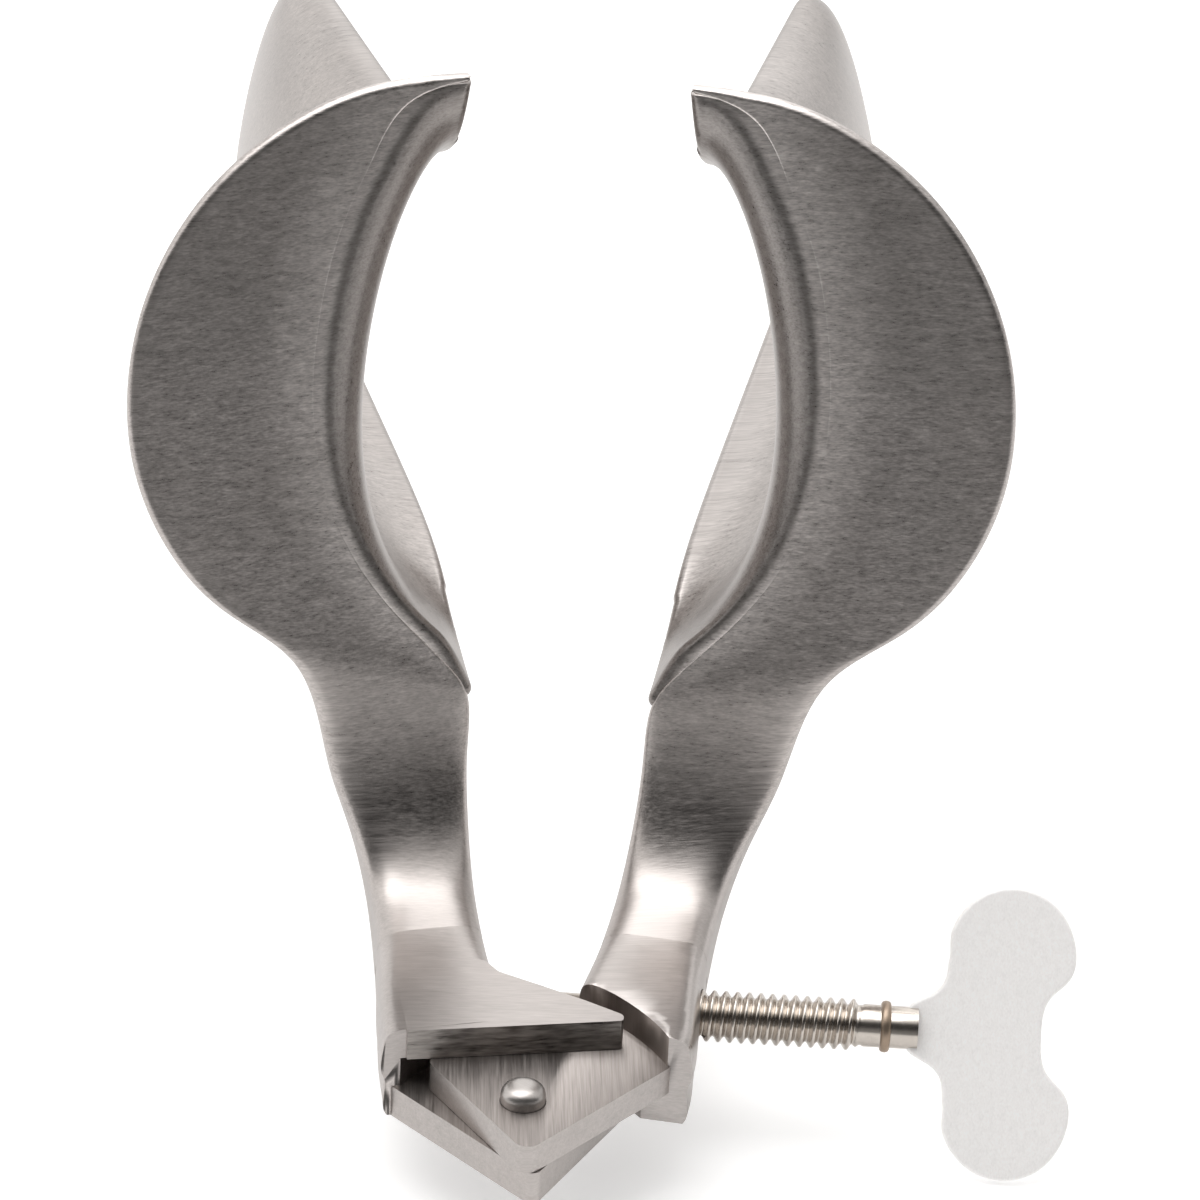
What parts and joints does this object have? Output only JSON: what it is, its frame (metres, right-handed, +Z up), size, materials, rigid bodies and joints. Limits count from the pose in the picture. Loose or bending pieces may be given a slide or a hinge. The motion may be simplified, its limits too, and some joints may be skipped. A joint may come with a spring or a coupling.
{
  "type": "side-screw bivalve speculum",
  "caption": "Hinged duckbill valves with crescent flanges on curved arms, meeting in a fork-and-tongue hinge and spread by a side thumbscrew",
  "frame": {"origin": "where the hinge pin's axis meets the flat underside of the hinge end", "axes": "+Z up along the hinge pin, +Y away from the user along the blades, +X towards the thumbscrew"},
  "size_m": [0.0871, 0.1378, 0.0913],
  "materials": {
    "valve_steel": "brushed satin",
    "pin_steel": "polished",
    "screw_steel": "bright machined",
    "wing_steel": "fine satin",
    "braze": "dull"
  },
  "bodies": {
    "left_half": {"left_valve": "valve_steel", "hinge_pin": "pin_steel"},
    "right_half": {"right_valve": "valve_steel"},
    "screw_slide": {"braze_ring": "braze"},
    "thumbscrew": {"screw_shank": "screw_steel", "wing_plate": "wing_steel"}
  },
  "joints": [
    {"name": "valve_pivot", "type": "hinge", "parent": "left_half", "child": "right_half", "pos_m": [0, 0, 0.00445], "axis": [0, 0, -1], "range_deg": [-24, 12]},
    {"name": "screw_advance", "type": "slide", "parent": "right_half", "child": "screw_slide", "axis": [-0.9969, 0.0785, 0], "range_m": [-0.0079, 0.0041]},
    {"name": "screw_turn", "type": "hinge", "parent": "screw_slide", "child": "thumbscrew", "pos_m": [0.01605, 0.01701, 0.00445], "axis": [-0.9969, 0.0785, 0], "range_deg": [-2640, 1330]}
  ],
  "couplings": [
    {"joint": "screw_advance", "follows": "valve_pivot", "m_per_rad": 0.018432},
    {"joint": "screw_turn", "follows": "valve_pivot", "ratio": 109.46}
  ]
}
